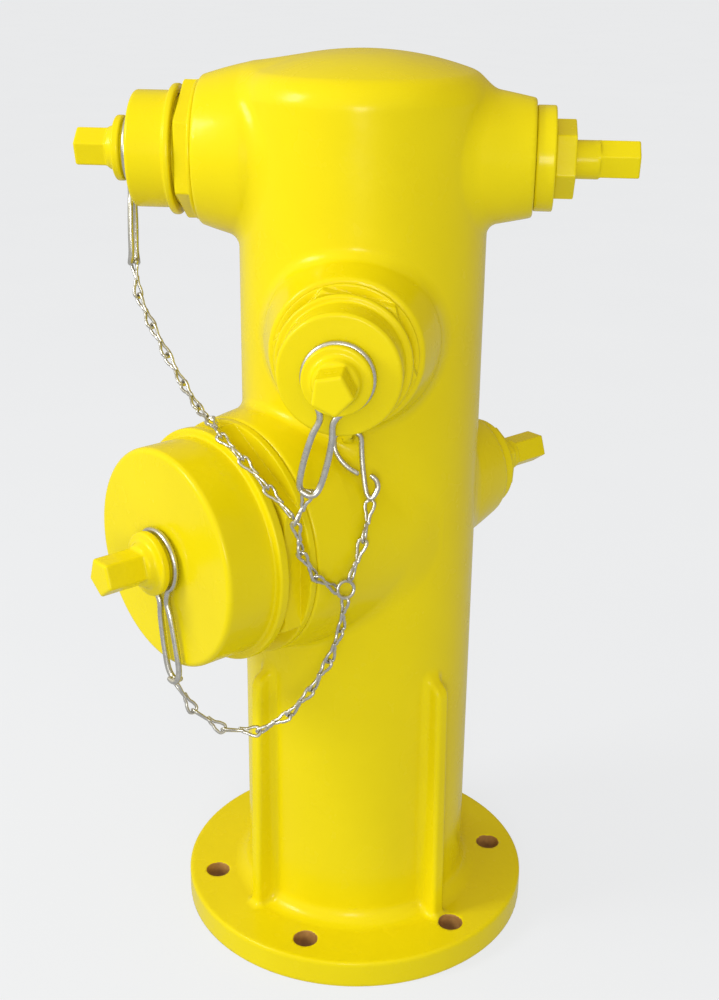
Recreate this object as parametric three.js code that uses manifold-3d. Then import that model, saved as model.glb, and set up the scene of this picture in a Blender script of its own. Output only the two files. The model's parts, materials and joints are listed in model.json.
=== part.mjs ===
// Wet-barrel fire hydrant: two hose outlets and one pumper outlet, each with a valve of its own.
// Millimetres, +Z up. The origin is the centre of the underside of the base flange.
// Each outlet is built in a local frame whose +X runs outward along the outlet's own axis,
// so a profile point is [distance from the barrel's axis, radius about the outlet's axis].

import * as THREE from 'three';
import { mergeVertices } from 'three/addons/utils/BufferGeometryUtils.js';
import Module from 'manifold-3d';

const wasm = await Module();
wasm.setup();

// ---- driving dimensions -------------------------------------------------------------------

const gap = 0.3; // clearance between pieces that touch
const rad = THREE.MathUtils.degToRad;

const barrel = {
  height: 695,
  shoulder: 668, // height where the side starts to turn into the dome
  radius: 90.4,
  shoulderFillet: 13,
  bore: 78,
  boreShoulder: 658, // height where the bore starts to close in
  boreTop: 681,
  boreTopRadius: 56,
};
const flange = {
  radius: 142.4,
  thickness: 22.8,
  holeCircle: 119.06,
  holeRadius: 9.5,
  holes: 6,
  firstHole: 16, // degrees
  filletHeight: 14,
  topEdge: 2.5,
  footEdge: 1.5,
};
const rib = { bearings: [45, 135, 225, 315], thickness: 11.6, reach: 104, foot: 108, top: 238, slope: 9 };
const eye = { height: 446, reach: 108, thickness: 8, radius: 9, hole: 4.6 }; // chain anchor

// Shared by all three outlets.
const stemRadius = 13.6;
const stemHole = 14.3;
const spigotRadius = 9; // the stem's end, inside the disc holder
const nutRadius = 14; // pentagon, centre to corner
const hubRadius = 20;
const stopRadius = 23.4; // the flange that keeps the hook in the cap's neck
const wireRadius = 2.2;
const hookRingRadius = 23;
const hookDrop = hookRingRadius - wireRadius - hubRadius - gap; // the hook's ring rests on the neck
const seal = { groove: 3.6, depth: 2.7, cord: 2.6, inset: 0.95 }; // O-rings and their grooves

// The valve's end, as distances from the barrel's axis on the side away from the outlet.
const valveEnd = {
  spigotStart: 98, // the bonnet's spigot, inside the boss
  grooveStart: 114,
  bossFace: 122,
  collarRadius: 37,
  collarEnd: 136,
  packing: [113, 124], // the packing's chamber, closed by the gland
  packingRadius: 22,
  glandCorner: 28,
  glandEnd: 150.5,
  segments: 20,
};

const hose = {
  bossProfile: [[0, 0], [0, 60], [30, 62.5], [80, 62.5], [98, 58.6], [115, 53.4], [117, 51.5], [117, 0]],
  seat: 84,
  bossFace: 117,
  passage: 43.6, // bore in the casting that takes the nozzle
  nozzleRadius: 43,
  collar: [49.5, 120], // round collar: radius, end
  hex: [49.5, 47.8, 130], // wrench collar: corner radius, corner chamfer radius, end
  thread: [38.6, 155],
  bore: 31.75,
  capThread: 39.5,
  capStart: 132.5,
  capFlange: [46.4, 138],
  capRadius: 41.5,
  capInside: 158.7,
  capFace: 166,
  capRound: 3,
  neckEnd: 174, // the cap hook hangs in this neck
  discEnd: 180,
  nutStart: 190,
  nutEnd: 210,
  hookReach: 82,
  discRadius: 36,
  discBack: 64,
  discPost: 9.7,
  nutCorner: 15,
  valveBoss: [[0, 0], [0, 50], [76, 50], [121, 41.8], [122, 40.8], [122, 0]],
  bonnetBore: 33,
  stemNut: [166, 196],
  segments: 24,
};
const pumper = {
  bossProfile: [[0, 0], [0, 86], [30, 92.5], [84, 92.5], [100, 90.5], [110, 89], [114, 86.8], [114, 0]],
  seat: 84,
  bossFace: 114,
  passage: 77.8,
  nozzleRadius: 77,
  collar: [85.6, 120],
  hex: [88, 84.4, 134],
  thread: [72.7, 168],
  bore: 57.15,
  capThread: 74,
  capStart: 137,
  capFlange: [86.5, 145],
  capRadius: 80.5,
  capInside: 172.7,
  capFace: 184.5,
  capRound: 4,
  neckEnd: 193,
  discEnd: 199,
  nutStart: 209,
  nutEnd: 236,
  hookReach: 89,
  discRadius: 64,
  discBack: 62,
  discPost: 13,
  nutCorner: 20,
  valveBoss: [[0, 0], [0, 56], [76, 56], [98, 50], [121, 44], [122, 43], [122, 0]],
  bonnetBore: 33,
  stemNut: [166, 201],
  segments: 32,
};
// Angles are in degrees. turns says how far the wrench collar, the pentagon nuts and the gland nut
// are turned from having a corner at the top.
const outlets = [
  { name: 'upper', bearing: 180, height: 622.5, size: hose, hookSwing: 5, turns: [0, 0, -13] },
  { name: 'front', bearing: 270, height: 506, size: hose, hookSwing: -14, turns: [42, 26, 10] },
  { name: 'pumper', bearing: 226, height: 356, size: pumper, hookSwing: 11, turns: [0, 36, 4] },
];

// Chain routes and the anchor hook's wire, in the part's own frame.
const chainRadius = 4.5;
const junction = [3, -138, 342];
const chainRing = { radius: 6.2, wire: 1.3, tilt: 78, turn: 28 };
const anchorWireRadius = 1.9;
const chainRoutes = {
  upper_chain: [
    [-170, -7.6, 537.4], [-169.4, -10, 529], [-167, -14, 519.5], [-162, -20, 510], [-156, -27, 502],
    [-142, -42, 484], [-126, -60, 466], [-110, -81, 453], [-97, -100, 449], [-88, -119, 446.5],
    [-79, -130, 443], [-69, -139, 437], [-58, -147, 429], [-46.5, -155, 419], [-33.5, -164.8, 409.4],
  ],
  front_chain: [
    [-20.8, -170, 422.6], [-24.5, -169.8, 414], [-27.8, -168.8, 404.5], [-28.8, -167, 394.5],
    [-27, -165, 385], [-22.5, -160, 371], [-16.5, -154, 357.5], [-11, -147.5, 348.5], [-6, -142, 344],
  ],
  anchor_chain: [
    [16.8, -111.4, 394], [15.7, -118.3, 385], [14, -124, 375], [12, -128.8, 363], [7.5, -134.5, 353],
  ],
  pumper_chain: [
    [2.5, -137.5, 331], [1, -136.5, 316], [-3, -136, 299], [-10, -136.5, 281], [-22, -138, 259],
    [-39, -140, 238], [-52, -141.5, 229], [-66, -143, 224.5], [-80, -145, 226], [-92, -146.5, 232],
    [-103, -147.5, 240.5], [-111.5, -148, 250.5], [-117.2, -147.8, 262.6],
  ],
};
const anchorWire = [
  [7, -105, 417], [1, -105.5, 421], [-5, -105, 427], [-9, -103, 434], [-9.4, -101.5, 441],
  [-7.4, -101, 444.6], [-4, -101, 446], [0, -101, 446], [4, -101, 446], [7.6, -101, 444.6],
  [9.4, -101, 441], [9.8, -101.5, 434], [10.6, -103, 424],
  [12.4, -105.5, 411], [14.3, -108, 403], [17, -108.5, 399.8], [20, -107.5, 402],
  [22, -105.5, 407], [20.8, -104.8, 412], [17.8, -104.6, 415],
];

// ---- materials ----------------------------------------------------------------------------

const paint = () => new THREE.MeshStandardMaterial({ color: 0xf0dc0a, roughness: 0.28, metalness: 0 });
const steel = () => new THREE.MeshStandardMaterial({ color: 0xb9b7ae, roughness: 0.35, metalness: 1 });
const bronze = () => new THREE.MeshStandardMaterial({ color: 0xa9793c, roughness: 0.4, metalness: 1 });
const rubber = () => new THREE.MeshStandardMaterial({ color: 0x1c1c1c, roughness: 0.8, metalness: 0 });
const fibre = () => new THREE.MeshStandardMaterial({ color: 0x6f675a, roughness: 0.9, metalness: 0 });

// ---- solids -------------------------------------------------------------------------------

// A closed three.js geometry as a solid: shared corners merged, empty triangles dropped.
function solid(geometry) {
  const bare = geometry.clone();
  bare.deleteAttribute('normal');
  bare.deleteAttribute('uv');
  const merged = mergeVertices(bare, 1e-4);
  const index = merged.index.array;
  const corners = merged.attributes.position.array;
  const triangles = [];
  let volume = 0;
  const a = new THREE.Vector3();
  const b = new THREE.Vector3();
  const c = new THREE.Vector3();
  for (let i = 0; i < index.length; i += 3) {
    const [p, q, r] = [index[i], index[i + 1], index[i + 2]];
    if (p === q || q === r || r === p) continue;
    triangles.push(p, q, r);
    a.fromArray(corners, 3 * p);
    b.fromArray(corners, 3 * q);
    c.fromArray(corners, 3 * r);
    volume += a.dot(b.cross(c));
  }
  if (volume < 0) triangles.reverse();
  return new wasm.Manifold(new wasm.Mesh({
    numProp: 3,
    vertProperties: new Float32Array(corners),
    triVerts: new Uint32Array(triangles),
  }));
}

function geometryOf(body) {
  const mesh = body.getMesh();
  const geometry = new THREE.BufferGeometry();
  geometry.setAttribute('position', new THREE.BufferAttribute(mesh.vertProperties, 3));
  geometry.setIndex(new THREE.BufferAttribute(mesh.triVerts, 1));
  geometry.computeVertexNormals();
  return geometry;
}

// A profile of [along, radius] points turned about the local X axis.
function turned(profile, segments) {
  const points = profile.map(([along, radius]) => new THREE.Vector2(radius, along));
  return new THREE.LatheGeometry(points, segments).rotateZ(-Math.PI / 2);
}

const reversed = (profile) => profile.map(([along, radius]) => [-along, radius]);

// A ring-shaped profile that closes on itself.
const ring = (from, to, inner, outer) => [
  [from, inner], [from, outer], [to, outer], [to, inner], [from, inner],
];

// A prism with equal sides along local X. A turn of 0 puts a corner at the top.
function prism(from, to, cornerRadius, sides, turn = 0) {
  const shape = new THREE.Shape();
  for (let i = 0; i < sides; i += 1) {
    const angle = rad(turn) + (2 * Math.PI * i) / sides;
    const x = cornerRadius * Math.sin(angle);
    const y = cornerRadius * Math.cos(angle);
    if (i === 0) shape.moveTo(x, y);
    else shape.lineTo(x, y);
  }
  shape.closePath();
  const geometry = new THREE.ExtrudeGeometry(shape, { depth: to - from, bevelEnabled: false });
  geometry.rotateZ(Math.PI / 2).rotateY(Math.PI / 2);
  return geometry.translate(from, 0, 0);
}

// A round wire or cord along a smooth curve through the points.
function tube(points, radius, sides, steps) {
  const path = new THREE.CatmullRomCurve3(points.map((p) => new THREE.Vector3(...p)));
  const section = new THREE.Shape();
  for (let i = 0; i < sides; i += 1) {
    const angle = (2 * Math.PI * i) / sides;
    const [x, y] = [radius * Math.cos(angle), radius * Math.sin(angle)];
    if (i === 0) section.moveTo(x, y);
    else section.lineTo(x, y);
  }
  section.closePath();
  return new THREE.ExtrudeGeometry(section, { steps, extrudePath: path, bevelEnabled: false });
}

function oring(along, middleRadius, thickness, segments) {
  const profile = [];
  const sides = 5;
  for (let i = 0; i <= sides; i += 1) {
    const angle = (2 * Math.PI * i) / sides;
    const reach = thickness / 2;
    profile.push([along + reach * Math.sin(angle), middleRadius + reach * Math.cos(angle)]);
  }
  return turned(profile, segments);
}

const group = new THREE.Group();

function addPiece(parent, name, body, material) {
  const mesh = new THREE.Mesh(geometryOf(body), material);
  mesh.name = name;
  parent.add(mesh);
  return mesh;
}

// ---- the cast barrel ----------------------------------------------------------------------

// The outlet's place in the part's frame.
function placeOf(outlet) {
  const turn = new THREE.Matrix4().makeRotationZ(rad(outlet.bearing));
  return turn.setPosition(0, 0, outlet.height);
}

function barrelBody() {
  const { radius, shoulder, shoulderFillet, height, bore, boreShoulder, boreTop } = barrel;
  const outline = [
    [0, 0], [0, flange.radius - flange.footEdge], [flange.footEdge, flange.radius],
    [flange.thickness - flange.topEdge, flange.radius],
    [flange.thickness, flange.radius - flange.topEdge],
    [flange.thickness, radius + flange.filletHeight],
    [flange.thickness + 4, radius + 5],
    [flange.thickness + flange.filletHeight, radius],
    [shoulder, radius],
  ];
  for (const turn of [30, 60]) {
    outline.push([
      shoulder + shoulderFillet * Math.sin(rad(turn)),
      radius - shoulderFillet * (1 - Math.cos(rad(turn))),
    ]);
  }
  const shoulderTurn = 70; // where the shoulder's fillet meets the dome
  const domeEdge = radius - shoulderFillet * (1 - Math.cos(rad(shoulderTurn)));
  const domeBase = shoulder + shoulderFillet * Math.sin(rad(shoulderTurn));
  const rise = height - domeBase;
  const domeRadius = (domeEdge ** 2 + rise ** 2) / (2 * rise);
  const domeSpan = Math.asin(domeEdge / domeRadius);
  const domeSteps = 3;
  for (let i = 0; i < domeSteps; i += 1) {
    const angle = domeSpan * (1 - i / domeSteps);
    outline.push([height - domeRadius * (1 - Math.cos(angle)), domeRadius * Math.sin(angle)]);
  }
  outline.push([height, 0]);
  const upright = (profile, segments) => turned(profile, segments).rotateY(-Math.PI / 2);
  let body = solid(upright(outline, 36));

  const root = bore + 4; // ribs and the chain's eye start inside the wall
  for (const bearing of rib.bearings) {
    const side = new THREE.Shape();
    side.moveTo(root, flange.thickness / 2);
    side.lineTo(rib.foot + 5, flange.thickness / 2);
    side.lineTo(rib.foot + 5, flange.thickness + 1);
    side.lineTo(rib.foot, flange.thickness + 10);
    side.lineTo(rib.reach, rib.top - rib.slope);
    side.lineTo(radius - 1, rib.top);
    side.lineTo(root, rib.top);
    side.closePath();
    const plate = new THREE.ExtrudeGeometry(side, { depth: rib.thickness, bevelEnabled: false });
    plate.translate(0, 0, -rib.thickness / 2).rotateX(Math.PI / 2).rotateZ(rad(bearing));
    body = body.add(solid(plate));
  }

  const eyeShape = new THREE.Shape();
  eyeShape.moveTo(root, eye.height - eye.radius - 3);
  eyeShape.lineTo(eye.reach - eye.radius, eye.height - eye.radius);
  eyeShape.absarc(eye.reach - eye.radius, eye.height, eye.radius, -Math.PI / 2, Math.PI / 2, false);
  eyeShape.lineTo(root, eye.height + eye.radius + 3);
  eyeShape.closePath();
  const eyeHole = new THREE.Path().absarc(eye.reach - 7, eye.height, eye.hole, 0, 2 * Math.PI, true);
  eyeShape.holes.push(eyeHole);
  const settings = { depth: eye.thickness, bevelEnabled: false, curveSegments: 6 };
  const lug = new THREE.ExtrudeGeometry(eyeShape, settings);
  lug.translate(0, 0, -eye.thickness / 2).rotateX(Math.PI / 2).rotateZ(-Math.PI / 2);
  body = body.add(solid(lug));

  for (const outlet of outlets) {
    const { bossProfile, valveBoss, segments } = outlet.size;
    for (const profile of [bossProfile, reversed(valveBoss)]) {
      const boss = turned(profile, segments).applyMatrix4(placeOf(outlet));
      body = body.add(solid(boss));
    }
  }

  const water = [[-1, 0], [-1, bore], [boreShoulder, bore], [boreTop, barrel.boreTopRadius], [boreTop, 0]];
  body = body.subtract(solid(upright(water, 32)));
  for (const outlet of outlets) {
    const { seat, bossFace, passage, bonnetBore, discRadius, segments } = outlet.size;
    const entry = discRadius + 6;
    const step = seat - 2;
    const mouth = bossFace + 1;
    const valveMouth = valveEnd.bossFace + 1;
    const openings = [
      [[0, 0], [0, entry], [step, entry], [step, passage], [mouth, passage], [mouth, 0]],
      reversed([[0, 0], [0, bonnetBore], [valveMouth, bonnetBore], [valveMouth, 0]]),
    ];
    for (const profile of openings) {
      const cut = turned(profile, segments).applyMatrix4(placeOf(outlet));
      body = body.subtract(solid(cut));
    }
  }
  for (let i = 0; i < flange.holes; i += 1) {
    const angle = rad(flange.firstHole + (360 * i) / flange.holes);
    const holeEnd = flange.thickness + flange.filletHeight;
    const hole = upright([[-1, 0], [-1, flange.holeRadius], [holeEnd, flange.holeRadius], [holeEnd, 0]], 16);
    hole.translate(flange.holeCircle * Math.cos(angle), flange.holeCircle * Math.sin(angle), 0);
    body = body.subtract(solid(hole));
  }
  return body;
}

// ---- outlet pieces ------------------------------------------------------------------------

// Where a nozzle's O-ring groove starts.
const nozzleGroove = (size) => size.bossFace - 10;

function nozzleBody({ size, turns }) {
  const [collarTurn] = turns;
  const { seat, bossFace, nozzleRadius, collar, hex, thread, bore, segments } = size;
  const groove = nozzleGroove(size);
  const grooveRadius = nozzleRadius - seal.depth;
  const profile = [
    [seat, bore], [seat, nozzleRadius],
    [groove, nozzleRadius], [groove, grooveRadius],
    [groove + seal.groove, grooveRadius], [groove + seal.groove, nozzleRadius],
    [bossFace + gap, nozzleRadius], [bossFace + gap, collar[0] - 1],
    [bossFace + 1.3, collar[0]], [collar[1], collar[0]],
    [collar[1], thread[0]], [thread[1] - 2, thread[0]], [thread[1], thread[0] - 2],
    [thread[1], bore], [seat, bore],
  ];
  const wrench = solid(prism(collar[1] - 1, hex[2], hex[0], 6, collarTurn));
  const round = solid(turned([
    [collar[1] - 2, 0], [collar[1] - 2, hex[1]], [hex[2] - 1, hex[1]], [hex[2], hex[1] - 1], [hex[2], 0],
  ], segments));
  const middle = solid(turned([
    [collar[1] - 3, 0], [collar[1] - 3, thread[0] - 2], [hex[2] + 1, thread[0] - 2], [hex[2] + 1, 0],
  ], segments));
  return solid(turned(profile, segments)).add(wrench.intersect(round).subtract(middle));
}

function capBody(outlet) {
  const { size } = outlet;
  const [, nutTurn] = outlet.turns;
  const { capThread, capStart, capFlange, capRadius, capInside, capFace, capRound } = size;
  const { neckEnd, discEnd, nutStart, nutEnd, segments } = size;
  const profile = [
    [capInside, 0], [capInside, capThread], [capStart, capThread],
    [capStart, capFlange[0] - 1.5], [capStart + 1.5, capFlange[0]],
    [capFlange[1] - 1, capFlange[0]], [capFlange[1] + 1.5, capRadius + 1.2],
    [capFlange[1] + 3.5, capRadius],
  ];
  for (const turn of [0, 45, 90]) {
    profile.push([
      capFace - capRound + capRound * Math.sin(rad(turn)),
      capRadius - capRound + capRound * Math.cos(rad(turn)),
    ]);
  }
  profile.push(
    [capFace, hubRadius + 3], [capFace + 1.2, hubRadius], [neckEnd, hubRadius],
    [neckEnd + 1, stopRadius], [discEnd - 1, stopRadius], [discEnd, stopRadius - 1.4],
    [discEnd + 0.6, nutRadius + 3], [nutStart - 2, nutRadius + 1.2], [nutStart, nutRadius - 1],
    [nutStart, 0],
  );
  return solid(turned(profile, segments)).add(solid(prism(nutStart - 3, nutEnd, nutRadius, 5, nutTurn)));
}

// The wire hook: an open ring on the cap's neck, pinched under it, with two legs that meet.
function hookBody({ hookReach }) {
  const points = [];
  const opening = 24; // degrees each side of straight down
  const steps = 10;
  for (let i = 0; i <= steps; i += 1) {
    const angle = rad(opening + ((360 - 2 * opening) * i) / steps - 90);
    points.push([0, hookRingRadius * Math.cos(angle), hookRingRadius * Math.sin(angle)]);
  }
  const leg = [
    [4.6, -30], [6.6, -42], [7.6, -0.7 * hookReach], [7, -0.9 * hookReach], [5, -hookReach],
  ];
  const right = leg.map(([across, down]) => [0, across, down]).reverse();
  const left = leg.map(([across, down]) => [0, -across, down]);
  const wire = tube([...right, ...points, ...left], wireRadius, 6, 40);
  return solid(wire);
}

function stemBody({ size, turns }) {
  const [, nutTurn] = turns;
  const { discBack, stemNut } = size;
  const end = discBack + 3;
  const step = discBack - 14; // the spigot starts here
  const profile = [
    [-stemNut[0] - 2, 0], [-stemNut[0] - 2, stemRadius - 1], [-stemNut[0], stemRadius],
    [step - 2, stemRadius], [step, spigotRadius], [end, spigotRadius], [end, 0],
  ];
  const nut = prism(-stemNut[1], -stemNut[0] - 1, nutRadius, 5, nutTurn);
  return solid(turned(profile, 16)).add(solid(nut));
}

// The bonnet's spigot, a sliding fit in the boss.
const spigotOf = (size) => size.bonnetBore - 0.6;

function bonnetBody(size) {
  const { spigotStart, grooveStart, bossFace, collarRadius, collarEnd, packing, packingRadius } = valveEnd;
  const spigot = spigotOf(size);
  const grooveEnd = grooveStart + seal.groove;
  const profile = reversed([
    [spigotStart, stemHole], [spigotStart, spigot], [grooveStart, spigot],
    [grooveStart, spigot - seal.depth], [grooveEnd, spigot - seal.depth], [grooveEnd, spigot],
    [bossFace + gap, spigot], [bossFace + gap, collarRadius - 0.8],
    [bossFace + 1.2, collarRadius], [collarEnd - 1, collarRadius], [collarEnd, collarRadius - 1],
    [collarEnd, packingRadius], [packing[0], packingRadius], [packing[0] - 2, stemHole],
    [spigotStart, stemHole],
  ]);
  return solid(turned(profile, valveEnd.segments));
}

function glandBody({ turns }) {
  const [, , glandTurn] = turns;
  const { collarEnd, packing, packingRadius, glandCorner, glandEnd, segments } = valveEnd;
  const nut = solid(prism(-glandEnd, -collarEnd - gap, glandCorner, 6, glandTurn));
  const skirtRadius = packingRadius - 0.6;
  const rod = (start, end, radius) => {
    return solid(turned(reversed([[end, 0], [end, radius], [start, radius], [start, 0]]), segments));
  };
  return nut
    .add(rod(packing[1], collarEnd + 1, skirtRadius))
    .subtract(rod(packing[1] - 1, glandEnd + 1, stemHole));
}

// The bronze holder that slides on the stem's spigot and carries the rubber disc on a post.
function holderBody({ seat, discBack, discRadius, discPost }) {
  const socketRadius = spigotRadius + 0.6;
  const neckRadius = 17;
  const plate = [discBack + 3, discBack + 12];
  const plateRadius = discRadius + 1.5;
  return solid(turned([
    [discBack + 4, 0], [discBack + 4, socketRadius], [discBack - 10, socketRadius],
    [discBack - 10, neckRadius], [discBack, neckRadius + 2], [plate[0], plateRadius],
    [plate[1], plateRadius], [plate[1], discPost],
    [seat + 9, discPost], [seat + 10, discPost - 1], [seat + 10, 0],
  ], 20));
}

function discNutBody({ seat, discPost, nutCorner }) {
  const hole = discPost + 0.6;
  const bore = turned([[seat - 1, 0], [seat - 1, hole], [seat + 8, hole], [seat + 8, 0]], 20);
  return solid(prism(seat, seat + 7, nutCorner, 6)).subtract(solid(bore));
}

function outletGroup(outlet) {
  const { name, size, hookSwing } = outlet;
  const frame = new THREE.Group();
  frame.rotation.z = rad(outlet.bearing);
  frame.position.z = outlet.height;
  const { segments, seat, nozzleRadius, bore, thread, capThread, capInside } = size;
  const { capFace, neckEnd, discRadius, discBack, discPost } = size;
  const add = (piece, body, material) => addPiece(frame, `${name}_${piece}`, body, material);
  const washer = (from, to, inner, outer, sides) => solid(turned(ring(from, to, inner, outer), sides));

  add('nozzle', nozzleBody(outlet), paint());
  const nozzleSeal = nozzleGroove(size) + seal.groove / 2;
  add('nozzle_oring', solid(oring(nozzleSeal, nozzleRadius - seal.inset, seal.cord, segments)), rubber());
  add('cap', capBody(outlet), paint());
  const gasket = [thread[1] + gap, capInside - gap, bore + 0.5, capThread - 0.8];
  add('cap_gasket', washer(...gasket, segments - 8), rubber());

  const hook = add('cap_hook', hookBody(size), steel());
  hook.position.set((capFace + neckEnd) / 2, 0, -hookDrop);
  hook.rotation.x = rad(hookSwing);

  add('disc_holder', holderBody(size), bronze());
  add('valve_disc', washer(discBack + 12 + gap, seat - gap, discPost + 0.6, discRadius, 20), rubber());
  add('disc_nut', discNutBody(size), bronze());

  add('stem', stemBody(outlet), paint());
  add('bonnet', bonnetBody(size), paint());
  const bonnetSeal = -valveEnd.grooveStart - seal.groove / 2;
  add('bonnet_oring', solid(oring(bonnetSeal, spigotOf(size) - seal.inset, seal.cord, 20)), rubber());
  add('gland_nut', glandBody(outlet), paint());
  const [start, end] = valveEnd.packing;
  const rope = [-end + gap, -start - gap, stemHole, valveEnd.packingRadius - 0.8];
  add('stem_packing', washer(...rope, 20), fibre());
  return frame;
}

// ---- assembly -----------------------------------------------------------------------------

addPiece(group, 'barrel', barrelBody(), paint());
for (const outlet of outlets) group.add(outletGroup(outlet));

addPiece(group, 'anchor_hook', solid(tube(anchorWire, anchorWireRadius, 6, 36)), steel());
for (const [name, route] of Object.entries(chainRoutes)) {
  addPiece(group, name, solid(tube(route, chainRadius, 8, 2 * route.length)), steel());
}
const joinRing = new THREE.TorusGeometry(chainRing.radius, chainRing.wire, 6, 12);
const join = addPiece(group, 'chain_ring', solid(joinRing), steel());
join.position.set(...junction);
join.rotation.set(rad(chainRing.tilt), rad(chainRing.turn), 0);

export default group;
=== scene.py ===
"""Looks for the wet-barrel fire hydrant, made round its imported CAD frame. Metres, +Z up.

The castings are distance fields, negative inside, that meet in cast fillets. Dual contouring turns
them into meshes with true edges. Wires and chain links are swept round bars."""

import json
import math

import bpy
import numpy as np
from mathutils import Matrix, Vector


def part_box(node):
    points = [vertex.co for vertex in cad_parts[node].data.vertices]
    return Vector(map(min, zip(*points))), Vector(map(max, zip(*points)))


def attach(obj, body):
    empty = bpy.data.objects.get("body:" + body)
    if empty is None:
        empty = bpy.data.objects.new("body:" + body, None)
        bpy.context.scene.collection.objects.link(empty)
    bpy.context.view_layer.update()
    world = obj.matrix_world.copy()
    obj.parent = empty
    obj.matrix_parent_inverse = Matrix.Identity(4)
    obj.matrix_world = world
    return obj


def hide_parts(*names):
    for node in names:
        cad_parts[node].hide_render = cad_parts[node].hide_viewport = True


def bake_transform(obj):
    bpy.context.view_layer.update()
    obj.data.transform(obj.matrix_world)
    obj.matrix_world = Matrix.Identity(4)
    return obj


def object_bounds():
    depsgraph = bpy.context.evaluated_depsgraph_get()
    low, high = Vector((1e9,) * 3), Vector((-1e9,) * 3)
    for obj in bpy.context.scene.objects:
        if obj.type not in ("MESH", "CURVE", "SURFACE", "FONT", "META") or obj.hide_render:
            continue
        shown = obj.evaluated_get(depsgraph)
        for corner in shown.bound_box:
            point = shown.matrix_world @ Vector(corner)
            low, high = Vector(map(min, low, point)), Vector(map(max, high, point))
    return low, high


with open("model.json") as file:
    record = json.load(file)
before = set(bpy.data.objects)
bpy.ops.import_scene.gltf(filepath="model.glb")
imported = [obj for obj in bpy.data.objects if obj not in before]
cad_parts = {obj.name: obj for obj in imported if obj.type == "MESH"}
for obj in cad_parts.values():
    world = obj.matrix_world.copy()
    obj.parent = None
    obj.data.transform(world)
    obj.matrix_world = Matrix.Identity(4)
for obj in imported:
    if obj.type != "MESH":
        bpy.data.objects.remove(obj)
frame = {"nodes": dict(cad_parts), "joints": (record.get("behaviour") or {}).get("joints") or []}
cad_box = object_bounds()
joints = {joint["name"]: joint for joint in frame["joints"]}

# ---- camera --------------------------------------------------------------------------------

VIEW_HEIGHT = 0.355  # the camera looks at the barrel's axis at this height
VIEW_DISTANCE = 1.1454
VIEW_AZIMUTH = math.radians(4.97)
VIEW_ELEVATION = math.radians(21.63)
VIEW_ROLL = math.radians(0.725)
LENS_MM = 52.45
SENSOR_MM = 36


def make_camera():
    camera = bpy.data.objects.new("camera", bpy.data.cameras.new("camera"))
    bpy.context.scene.collection.objects.link(camera)
    back = Vector((
        math.sin(VIEW_AZIMUTH) * math.cos(VIEW_ELEVATION),
        -math.cos(VIEW_AZIMUTH) * math.cos(VIEW_ELEVATION),
        math.sin(VIEW_ELEVATION),
    ))
    place = Vector((0, 0, VIEW_HEIGHT)) + back * VIEW_DISTANCE
    aim = (-back).to_track_quat("-Z", "Y").to_matrix().to_4x4()
    camera.matrix_world = Matrix.Translation(place) @ aim @ Matrix.Rotation(VIEW_ROLL, 4, "Z")
    camera.data.lens = LENS_MM
    camera.data.sensor_width = SENSOR_MM
    camera.data.clip_end = 100
    bpy.context.scene.camera = camera


make_camera()

# ---- materials -----------------------------------------------------------------------------


class Nodes:
    """A new material's node tree, with short calls to add and link nodes."""

    def __init__(self, name):
        self.material = bpy.data.materials.new(name)
        self.material.use_nodes = True
        self.tree = self.material.node_tree
        self.shader = self.tree.nodes["Principled BSDF"]
        self.place = self.add("ShaderNodeTexCoord").outputs["Object"]

    def add(self, kind, **settings):
        node = self.tree.nodes.new(kind)
        for key, value in settings.items():
            setattr(node, key, value)
        return node

    def link(self, output, target):
        self.tree.links.new(output, target)

    def noise(self, scale, detail=3.0, roughness=0.5, stretch=None):
        node = self.add("ShaderNodeTexNoise")
        node.inputs["Scale"].default_value = scale
        node.inputs["Detail"].default_value = detail
        node.inputs["Roughness"].default_value = roughness
        place = self.place
        if stretch:
            mapping = self.add("ShaderNodeMapping")
            mapping.inputs["Scale"].default_value = stretch
            self.link(place, mapping.inputs["Vector"])
            place = mapping.outputs["Vector"]
        self.link(place, node.inputs["Vector"])
        return node.outputs["Fac"]

    def ramp(self, value, stops):
        """A colour or grey for each place in value: stops are (place, colour) pairs."""
        node = self.add("ShaderNodeValToRGB")
        elements = node.color_ramp.elements
        while len(elements) < len(stops):
            elements.new(0.5)
        for element, (place, colour) in zip(elements, stops):
            element.position = place
            shade = colour if isinstance(colour, tuple) else (colour, colour, colour)
            element.color = (*shade, 1)
        self.link(value, node.inputs["Fac"])
        return node.outputs["Color"]

    def bump(self, height, strength, distance, under=None):
        node = self.add("ShaderNodeBump")
        node.inputs["Strength"].default_value = strength
        node.inputs["Distance"].default_value = distance
        self.link(height, node.inputs["Height"])
        if under:
            self.link(under, node.inputs["Normal"])
        return node.outputs["Normal"]

    def multiply(self, one, other):
        node = self.add("ShaderNodeMix", data_type="RGBA", blend_type="MULTIPLY")
        node.inputs["Factor"].default_value = 1
        self.link(one, node.inputs["A"])
        self.link(other, node.inputs["B"])
        return node.outputs["Result"]

    def set(self, **values):
        for key, value in values.items():
            self.shader.inputs[key.replace("_", " ")].default_value = value


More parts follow.
